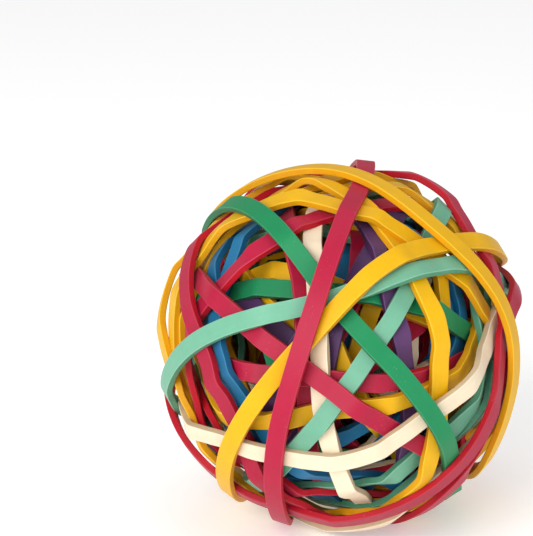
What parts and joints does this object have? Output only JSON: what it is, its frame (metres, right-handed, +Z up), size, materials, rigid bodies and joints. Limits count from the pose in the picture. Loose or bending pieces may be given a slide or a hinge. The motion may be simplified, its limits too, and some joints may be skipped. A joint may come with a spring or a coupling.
{
  "type": "rubber band ball",
  "caption": "ball wound from flat elastic bands in mixed colours, each stretched once round the ball over the ones before it",
  "frame": {"origin": "on the surface that the ball stands on, under the middle of its outline", "axes": "+Z up, +X to the right, -Y to the front, the side that the picture shows"},
  "size_m": [0.0608, 0.0612, 0.0599],
  "materials": {
    "crimson_rubber": "satin",
    "yellow_rubber": "satin",
    "mint_rubber": "satin",
    "green_rubber": "satin",
    "blue_rubber": "satin",
    "cream_rubber": "satin",
    "purple_rubber": "satin",
    "inner_bands": "satin"
  },
  "bodies": {
    "root": {"blue_band_1": "blue_rubber", "blue_band_2": "blue_rubber", "blue_band_3": "blue_rubber", "blue_band_4": "blue_rubber", "blue_band_5": "blue_rubber", "blue_band_6": "blue_rubber", "blue_band_7": "blue_rubber", "blue_band_8": "blue_rubber", "cream_band_1": "cream_rubber", "cream_band_2": "cream_rubber", "cream_band_3": "cream_rubber", "cream_band_4": "cream_rubber", "cream_band_5": "cream_rubber", "cream_band_6": "cream_rubber", "crimson_band_1": "crimson_rubber", "crimson_band_10": "crimson_rubber", "crimson_band_11": "crimson_rubber", "crimson_band_12": "crimson_rubber", "crimson_band_13": "crimson_rubber", "crimson_band_14": "crimson_rubber", "crimson_band_15": "crimson_rubber", "crimson_band_16": "crimson_rubber", "crimson_band_2": "crimson_rubber", "crimson_band_3": "crimson_rubber", "crimson_band_4": "crimson_rubber", "crimson_band_5": "crimson_rubber", "crimson_band_6": "crimson_rubber", "crimson_band_7": "crimson_rubber", "crimson_band_8": "crimson_rubber", "crimson_band_9": "crimson_rubber", "green_band_1": "green_rubber", "green_band_2": "green_rubber", "green_band_3": "green_rubber", "inner_bands": "inner_bands", "mint_band_1": "mint_rubber", "mint_band_2": "mint_rubber", "mint_band_3": "mint_rubber", "mint_band_4": "mint_rubber", "mint_band_5": "mint_rubber", "purple_band_1": "purple_rubber", "purple_band_2": "purple_rubber", "purple_band_3": "purple_rubber", "purple_band_4": "purple_rubber", "purple_band_5": "purple_rubber", "yellow_band_1": "yellow_rubber", "yellow_band_10": "yellow_rubber", "yellow_band_11": "yellow_rubber", "yellow_band_12": "yellow_rubber", "yellow_band_13": "yellow_rubber", "yellow_band_14": "yellow_rubber", "yellow_band_2": "yellow_rubber", "yellow_band_3": "yellow_rubber", "yellow_band_4": "yellow_rubber", "yellow_band_5": "yellow_rubber", "yellow_band_6": "yellow_rubber", "yellow_band_7": "yellow_rubber", "yellow_band_8": "yellow_rubber", "yellow_band_9": "yellow_rubber"}
  },
  "joints": []
}
